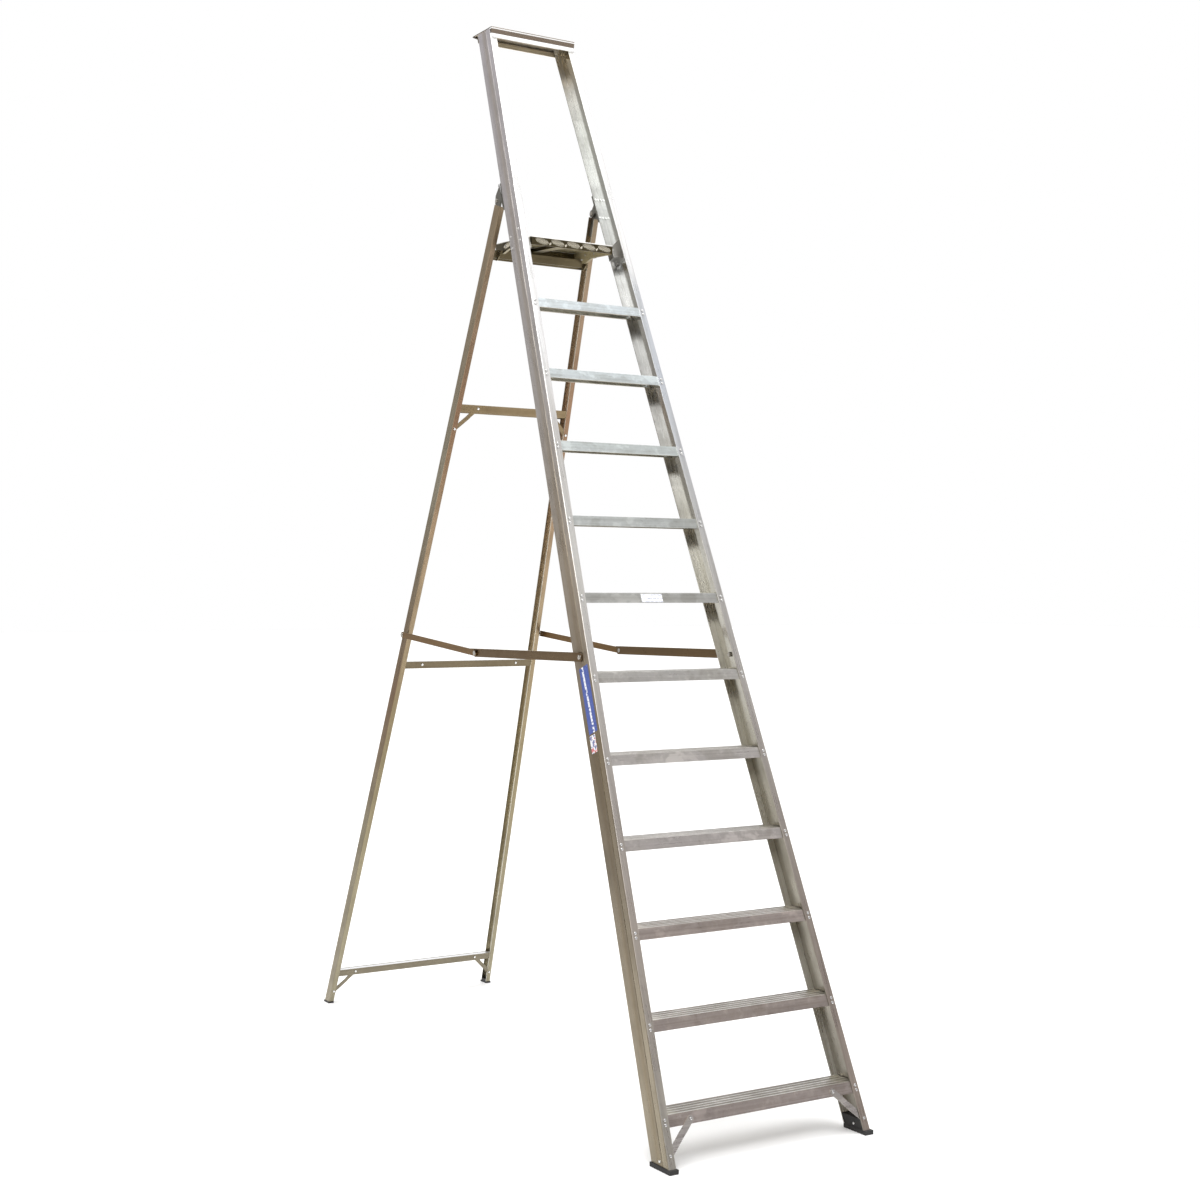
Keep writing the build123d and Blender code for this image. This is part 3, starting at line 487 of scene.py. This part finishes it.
def cap_highlight_lines(m):
    """Painted highlight lines: the bead under the hollow of the cap's front edge, and the line
    over it.
    """
    z = m.axis("Z")
    upper = m.math("MULTIPLY", m.ramp(z, 3.3572, 3.3580), m.ramp(z, 3.3616, 3.3609))
    lines = m.math("ADD", m.ramp(z, 3.3435, 3.3425), upper)
    return m.math("MULTIPLY", lines, m.ramp(m.axis("Y"), 0.22, 0.20))


def cap_matt(m):
    hidden = m.math("MAXIMUM", cap_inside(m), cap_flange(m))
    return m.math("MAXIMUM", hidden, cap_highlight_lines(m))


def plate_matt(m):
    hidden = m.math("MAXIMUM", m.facing(DOWN), m.sideways(False))
    return m.math("MAXIMUM", hidden, plate_edge_highlight(m))


# Painted light on the top cap: the underside and the skirt's inner face are painted pale as light
# that does not reach them, the rear flange's inner face darker as painted shade, and two painted
# highlight lines run along the front edge.
cap_metal = mill_metal(
    "cap_metal", level((0.25, 0.20, 0.155)), LEVEL, 0, 0.26, 0.2,
    areas=(
        ("out", level((0.10, 0.078, 0.062))),
        (cap_inside, level((0.95, 0.85, 0.68))),
        (cap_flange, level((0.25, 0.215, 0.155))),
        (cap_highlight_lines, level((0.93, 0.93, 0.93))),
    ),
    matt=cap_matt,
)
# Painted light on the platform sheet: the top is painted lighter than the lip and sides, the
# inner and lower faces take their own painted tones, and the top edge a painted highlight.
plate_metal = mill_metal(
    "plate_metal", level((0.092, 0.075, 0.040)), LEVEL, 0, 0.32, 0.4,
    areas=(
        (UP, level((0.45, 0.42, 0.33))),
        ("in", level((0.36, 0.305, 0.18))),
        (DOWN, level((0.24, 0.200, 0.110))),
        (plate_edge_highlight, level((0.88, 0.87, 0.83))),
    ),
    matt=plate_matt,
)
# The raised bars are painted lighter than the sheet, as a painted highlight.
bar_top_metal = mill_metal("raised_bar_metal", level((0.60, 0.56, 0.46)), LEVEL, 0, 0.22, 0.3)
hinge_metal = mill_metal("hinge_metal", level((0.17, 0.165, 0.150)), ALONG_LEG, 2, 0.34, 0.35)
# The bracket fronts are painted lighter, as a painted highlight.
bracket_metal = mill_metal(
    "bracket_metal", level((0.36, 0.35, 0.33)), ALONG_STILE, 2, 0.32, 0.3,
    areas=((FRONT, level((0.55, 0.54, 0.5))),),
)


def rivet_metal(name, crown, rim):
    """Crowns with a painted highlight, and rims with painted shade."""
    m = Nodes(name)
    cloud = m.noise(m.coord, 300.0, 3.0, 0.6)
    split = m.add("ShaderNodeSeparateXYZ")
    m.link(m.face(), split.inputs[0])
    faced = m.math("ABSOLUTE", split.outputs["X"], 0.0)
    for direction in (FRONT, LEG_FRONT, BACK):
        faced = m.math("MAXIMUM", faced, m.facing(direction, 0.0, 1.0))
    highlit_crown = m.mix(m.ramp(cloud, 0.4, 0.7, 0.0, 0.5), crown, rim)
    colour = m.mix(m.ramp(faced, 0.84, 0.97), rim, highlit_crown)
    return m.finish(colour, m.ramp(cloud, 0.3, 0.7, 0.20, 0.34), m.bump(cloud, 0.15, 0.0003), 1.0)


def moulded(name, colour, dust, rough):
    """Moulded rubber or plastic, with a fine grain and patches of dust."""
    m = Nodes(name)
    grain = m.noise(m.coord, 900.0, 3.0, 0.6)
    patch = m.noise(m.coord, 45.0, 5.0, 0.65)
    shade = m.mix(m.ramp(patch, 0.5, 0.8, 0.0, 0.7), colour, dust)
    roughness = m.ramp(patch, 0.3, 0.7, rough, rough + 0.2)
    return m.finish(shade, roughness, m.bump(grain, 0.4, 0.0004), 0.0)


def label_axes(m):
    """Distances along the stile and across its web, in metres."""
    turned = m.mapped((1, 1, 1), ALONG_STILE)
    split = m.add("ShaderNodeSeparateXYZ")
    m.link(turned, split.inputs[0])
    return split.outputs["Z"], split.outputs["Y"]


def band(m, value, middle, width):
    """1 within width of middle, with soft edges."""
    off = m.math("ABSOLUTE", m.math("SUBTRACT", value, middle), 0.0)
    return m.ramp(off, width / 2, width / 2 - 0.0015)


def side_label_film(low, middle_across):
    """Deep blue film with one long broken pale band. Nothing is written on it."""
    m = Nodes("label_blue")
    along, across = label_axes(m)
    drift = m.math("MULTIPLY", m.math("SUBTRACT", along, low), 0.06)
    middle = m.math("ADD", drift, middle_across - 0.006)
    broken = m.noise(m.mapped((1, 90, 190), ALONG_STILE), 1.0, 2.0, 0.5)
    print_band = m.math("MULTIPLY", band(m, across, middle, 0.011), m.ramp(broken, 0.40, 0.50))
    fine = m.noise(m.coord, 500.0, 3.0, 0.6)
    blue = m.mix(m.ramp(fine, 0.35, 0.7), (0.022, 0.050, 0.26), (0.045, 0.085, 0.34))
    small = m.noise(m.mapped((1, 260, 420), ALONG_STILE), 1.0, 2.0, 0.5)
    blue = m.mix(m.ramp(small, 0.62, 0.70, 0.0, 0.35), blue, (0.45, 0.50, 0.62))
    colour = m.mix(print_band, blue, (0.78, 0.79, 0.82))
    return m.finish(colour, 0.32, m.bump(fine, 0.05, 0.0002), 0.0)


def white_film(name, row_pitch, patches=0.0):
    """White film with broken grey rows, and soft red and blue patches where asked.
    row_pitch is in radians of the wave per metre of height."""
    m = Nodes(name)
    fine = m.noise(m.coord, 420.0, 3.0, 0.6)
    rows = m.math("SINE", m.math("MULTIPLY", m.axis("Z"), row_pitch), 0.0)
    broken = m.noise(m.mapped((160, 30, 900)), 1.0, 1.0, 0.4)
    fac = m.math("MULTIPLY", m.ramp(rows, 0.35, 0.6), m.ramp(broken, 0.46, 0.52))
    paper = m.mix(m.ramp(fine, 0.3, 0.8), (0.86, 0.87, 0.88), (0.78, 0.79, 0.80))
    colour = m.mix(m.math("MULTIPLY", fac, 0.75), paper, (0.22, 0.24, 0.36))
    blots = m.noise(m.coord, 75.0, 1.0, 0.4)
    colour = m.mix(m.ramp(blots, 0.54, 0.57, 0.0, patches), colour, (0.50, 0.05, 0.06))
    colour = m.mix(m.ramp(blots, 0.45, 0.42, 0.0, patches), colour, (0.05, 0.06, 0.24))
    return m.finish(colour, 0.38, m.bump(fine, 0.05, 0.0002), 0.0)


def label_place(node):
    """Low end of a label along the stile, and its middle across the web."""
    low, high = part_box(node)
    corners = [Vector((0, low.y, low.z)), Vector((0, high.y, high.z))]
    turned = [Matrix.Rotation(STILE_LEAN, 3, "X") @ corner for corner in corners]
    return turned[0].z, (turned[0].y + turned[1].y) / 2


label_material = side_label_film(*label_place("side_label"))
film_small = white_film("film_small", 900.0, 0.85)
film_tread = white_film("film_tread", 620.0)
rivet_material = rivet_metal("rivet_metal", (0.86, 0.86, 0.85), (0.16, 0.15, 0.13))
pin_material = rivet_metal("pin_metal", (0.50, 0.48, 0.44), (0.12, 0.10, 0.08))
rubber = moulded("black_rubber", (0.012, 0.011, 0.011), (0.05, 0.047, 0.043), 0.55)
foot_plastic = moulded("black_plastic", (0.016, 0.015, 0.015), (0.06, 0.055, 0.05), 0.45)


def material_for(node):
    """The finish of a CAD node, from its name."""
    if node.startswith("stile_"):
        return stile_metal
    if node == "tread_label":
        return film_tread
    if node.startswith(("link_rivet", "stay_joint", "stay_boss")) or node.endswith("_pins"):
        return pin_material
    if "rivet" in node:
        return rivet_material
    if node.startswith("knee_brace"):
        return brace_metal
    if node.startswith("tread_"):
        return tread_metal
    if node.startswith("rear_leg"):
        return leg_metal
    if node.endswith("_bar") or "_brace_" in node or node == "rest_clips":
        return bar_metal
    if node.startswith("stay_arm"):
        return arm_metal
    if node.startswith("stay_link"):
        return link_metal
    if node == "top_cap":
        return cap_metal
    if node in ("platform_tray", "platform_stiffener") or node.startswith("platform_side"):
        return plate_metal
    if node.startswith("hinge_"):
        return hinge_metal
    if node.startswith("platform_"):
        return bracket_metal
    if node.startswith("front_foot"):
        return rubber
    if node.startswith("rear_foot"):
        return foot_plastic
    if node == "side_label":
        return label_material
    return film_small


for name, piece in NODES.items():
    piece.data.materials.clear()
    piece.data.materials.append(material_for(name))


# ------------------------------------------- raised bars of the platform sheet
BAR_HEIGHT, BAR_STEP = 0.0009, 0.0060
FIELD_CELL = 0.029                       # one group of bars on the top
GROUP_HALF, GROUP_PITCH = 0.025, 0.058   # the wider groups on the folded edges
GROUP_STEP, GROUP_SHARES = 0.0062, (0.5, 0.8, 0.95, 1.0, 0.95, 0.8, 0.5)
SPOT_ACROSS, SPOT_DOWN = 0.0305, 0.74
EDGE_MARGIN = 0.0006
SLANT = math.sqrt(0.5)
# (place along a bar, share of its width and height there)
BAR_OUTLINE = (
    (-0.5, 0.0), (-0.42, 0.55), (-0.25, 0.9), (0, 1.0), (0.25, 0.9), (0.42, 0.55), (0.5, 0.0),
)
BAR_SIDES = 4

# The platform sheet, measured from its pivot: half width, front, rear and top faces
TRAY_HALF, TRAY_FRONT, TRAY_BACK, TRAY_TOP = 0.150, -0.0235, 0.2165, 0.012
TRAY_BORDER = 0.004                      # kept clear of bars
LIP_TOP, LIP_HEIGHT = TRAY_TOP - 0.001, 0.0245
SIDE_WALL, SIDE_START, SIDE_TOP = 0.0025, 0.044, 0.008
SIDE_LENGTH, SIDE_HEIGHT = 0.119, 0.0225


def lens_bar(bm, centre, along, up, length, width, height=BAR_HEIGHT):
    """One raised bar: a long low lozenge with a softly rounded back."""
    side = up.cross(along)
    rings = []
    for place, share in BAR_OUTLINE:
        spine = centre + along * (place * length)
        if share == 0.0:
            rings.append([bm.verts.new(spine)])
            continue
        row = []
        for k in range(BAR_SIDES + 1):
            angle = math.pi * k / BAR_SIDES
            lift = up * (math.sin(angle) * height * share)
            row.append(bm.verts.new(spine + side * (math.cos(angle) * width / 2 * share) + lift))
        rings.append(row)
    for a, b in zip(rings, rings[1:]):
        for k in range(BAR_SIDES):
            if len(a) == 1:
                bm.faces.new((a[0], b[k], b[k + 1]))
            elif len(b) == 1:
                bm.faces.new((a[k], b[0], a[k + 1]))
            else:
                bm.faces.new((a[k], b[k], b[k + 1], a[k + 1]))


def bar_field(bm, origin, u, v, up, u_size, v_size):
    """Groups of five bars, alternately slanted, over a rectangle u_size by v_size."""
    nu, nv = int(u_size / FIELD_CELL), int(v_size / FIELD_CELL)
    du, dv = u_size / nu, v_size / nv
    for i in range(nu):
        for j in range(nv):
            lean = 1 if (i + j) % 2 == 0 else -1
            along = (u + v * lean).normalized()
            across = (u - v * lean).normalized()
            middle = origin + u * (du * (i + 0.5)) + v * (dv * (j + 0.5))
            for k in range(-2, 3):
                length = min(du, dv) * (1.22 - 0.22 * abs(k))
                lens_bar(bm, middle + across * (k * BAR_STEP), along, up, length, 0.0028)


def cut_field(bm, origin, u, v, up, u_size, v_size):
    """The pattern on the folded edges: wide groups of seven slanted bars, and one short
    bar low in each gap between them."""
    whole = 2 * (v_size / 2 - EDGE_MARGIN) / SLANT
    at = GROUP_HALF + 0.008
    while at + GROUP_HALF < u_size:
        middle = origin + u * at + v * (v_size / 2)
        for k, share in zip(range(-3, 4), GROUP_SHARES):
            place = middle + u * (k * GROUP_STEP)
            lens_bar(bm, place, (u + v).normalized(), up, whole * share, 0.0029)
        if at + GROUP_PITCH + GROUP_HALF < u_size:
            spot = origin + u * (at + SPOT_ACROSS) + v * (v_size * SPOT_DOWN)
            lens_bar(bm, spot, (u - v).normalized(), up, 0.0110, 0.0055, 0.0010)
        at += GROUP_PITCH


def make_bars():
    """The raised pattern on the top, the front lip and both sides of the platform."""
    bm = bmesh.new()
    turn = Matrix.Rotation(PLATFORM_TILT, 3, "X")
    x, y, z = Vector((1, 0, 0)), turn @ Vector((0, 1, 0)), turn @ Vector((0, 0, 1))
    width = 2 * (TRAY_HALF - TRAY_BORDER)
    left = PIVOT + x * (TRAY_BORDER - TRAY_HALF)
    corner = left + y * (TRAY_FRONT + TRAY_BORDER) + z * TRAY_TOP
    bar_field(bm, corner, x, y, z, width, TRAY_BACK - TRAY_FRONT - 2 * TRAY_BORDER)
    corner = left + y * TRAY_FRONT + z * LIP_TOP
    cut_field(bm, corner, x, -z, -y, width, LIP_HEIGHT)
    for side in (-1, 1):
        wall = x * (side * (TRAY_HALF + SIDE_WALL))
        corner = PIVOT + wall + y * SIDE_START + z * SIDE_TOP
        cut_field(bm, corner, y, -z, x * side, SIDE_LENGTH, SIDE_HEIGHT)
    mesh = bpy.data.meshes.new("platform_bars")
    bm.normal_update()
    bm.to_mesh(mesh)
    bm.free()
    bars = bpy.data.objects.new("platform_bars", mesh)
    bpy.context.scene.collection.objects.link(bars)
    for face in mesh.polygons:
        face.use_smooth = True
    mesh.materials.append(bar_top_metal)
    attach(bars, "platform")


make_bars()


# ---------------------------------------------------------- floor, light, view
FLOOR_HALF = 60
STUDIO_WHITE, DIM_FRONT, DIM_LEFT = (1.0, 1.0, 1.0), (0.36, 0.34, 0.36), (0.34, 0.32, 0.28)
# The light from the whole sky: strength, spread and direction
SKY_POWER, SKY_SPREAD = 1.6, math.radians(70)
SKY_TURN = (math.radians(14), math.radians(-10), 0)
# The camera's place, aim and lens
CAMERA_PLACE = (-2.8979, -4.9279, 1.5065)
YAW, PITCH, ROLL = math.radians(31.73), math.radians(-0.212), math.radians(0.149)
LENS_MM, SENSOR_MM, CLIP_END = 52.99, 36.0, 300.0


def make_floor():
    bm = bmesh.new()
    bmesh.ops.create_grid(bm, x_segments=4, y_segments=4, size=FLOOR_HALF)
    mesh = bpy.data.meshes.new("floor")
    bm.to_mesh(mesh)
    bm.free()
    floor = bpy.data.objects.new("floor", mesh)
    bpy.context.scene.collection.objects.link(floor)
    m = Nodes("floor_paint")
    soft = m.noise(m.coord, 0.7, 2.0, 0.5)
    paint = m.mix(soft, (0.90, 0.90, 0.895), (0.93, 0.93, 0.93))
    mesh.materials.append(m.finish(paint, 0.8, metallic=0.0))


def make_world():
    """A white studio with a dimmer patch in front and another at the left, near the horizon."""
    world = bpy.data.worlds.new("studio")
    bpy.context.scene.world = world
    world.use_nodes = True
    tree = world.node_tree
    back = tree.nodes["Background"]
    coord = tree.nodes.new("ShaderNodeTexCoord")
    split = tree.nodes.new("ShaderNodeSeparateXYZ")
    tree.links.new(coord.outputs["Generated"], split.inputs[0])

    def step(out, low, high):
        node = tree.nodes.new("ShaderNodeMapRange")
        node.interpolation_type = "SMOOTHSTEP"
        tree.links.new(out, node.inputs["Value"])
        node.inputs["From Min"].default_value = low
        node.inputs["From Max"].default_value = high
        return node.outputs["Result"]

    def times(a, b):
        node = tree.nodes.new("ShaderNodeMath")
        node.operation = "MULTIPLY"
        tree.links.new(a, node.inputs[0])
        tree.links.new(b, node.inputs[1])
        return node.outputs[0]

    def mix(fac, a, b):
        node = tree.nodes.new("ShaderNodeMix")
        node.data_type = "RGBA"
        tree.links.new(fac, node.inputs[0])
        for socket, value in ((node.inputs[6], a), (node.inputs[7], b)):
            if isinstance(value, tuple):
                socket.default_value = (*value, 1)
            else:
                tree.links.new(value, socket)
        return node.outputs[2]

    x, y, z = split.outputs["X"], split.outputs["Y"], split.outputs["Z"]
    front = times(step(y, -0.2, -0.6), step(z, 0.80, 0.25))
    left = times(step(x, -0.2, -0.5), step(z, 0.60, 0.0))
    colour = mix(front, STUDIO_WHITE, DIM_FRONT)
    colour = mix(left, colour, DIM_LEFT)
    tree.links.new(colour, back.inputs["Color"])
    back.inputs["Strength"].default_value = 1.0


def area_light(name, place, target, size, power):
    data = bpy.data.lights.new(name, "AREA")
    data.shape = "SQUARE"
    data.size = size
    data.energy = power
    lamp = bpy.data.objects.new(name, data)
    lamp.location = place
    lamp.rotation_euler = (Vector(target) - Vector(place)).to_track_quat("-Z", "Y").to_euler()
    bpy.context.scene.collection.objects.link(lamp)


def make_sun():
    data = bpy.data.lights.new("sky", "SUN")
    data.energy = SKY_POWER
    data.angle = SKY_SPREAD
    lamp = bpy.data.objects.new("sky", data)
    lamp.rotation_euler = SKY_TURN
    bpy.context.scene.collection.objects.link(lamp)


def make_camera():
    share = math.cos(PITCH)
    ahead = Vector((math.sin(YAW) * share, math.cos(YAW) * share, math.sin(PITCH)))
    level_right = Vector((math.cos(YAW), -math.sin(YAW), 0))
    level_up = level_right.cross(ahead)
    right = level_right * math.cos(ROLL) + level_up * math.sin(ROLL)
    up = level_up * math.cos(ROLL) - level_right * math.sin(ROLL)
    data = bpy.data.cameras.new("camera")
    data.sensor_width = SENSOR_MM
    data.lens = LENS_MM
    data.clip_end = CLIP_END
    camera = bpy.data.objects.new("camera", data)
    turn = Matrix((right, up, -ahead)).transposed().to_4x4()
    camera.matrix_world = Matrix.Translation(CAMERA_PLACE) @ turn
    bpy.context.scene.collection.objects.link(camera)
    bpy.context.scene.camera = camera


make_floor()
make_world()
area_light("key", place=(-3.0, -5.0, 7.5), target=(0, 0, 1.2), size=4.0, power=150)
area_light("top", place=(1.5, 0.5, 9.0), target=(0, 0, 0), size=6.0, power=220)
make_sun()
make_camera()
bpy.context.scene.view_settings.view_transform = "Standard"
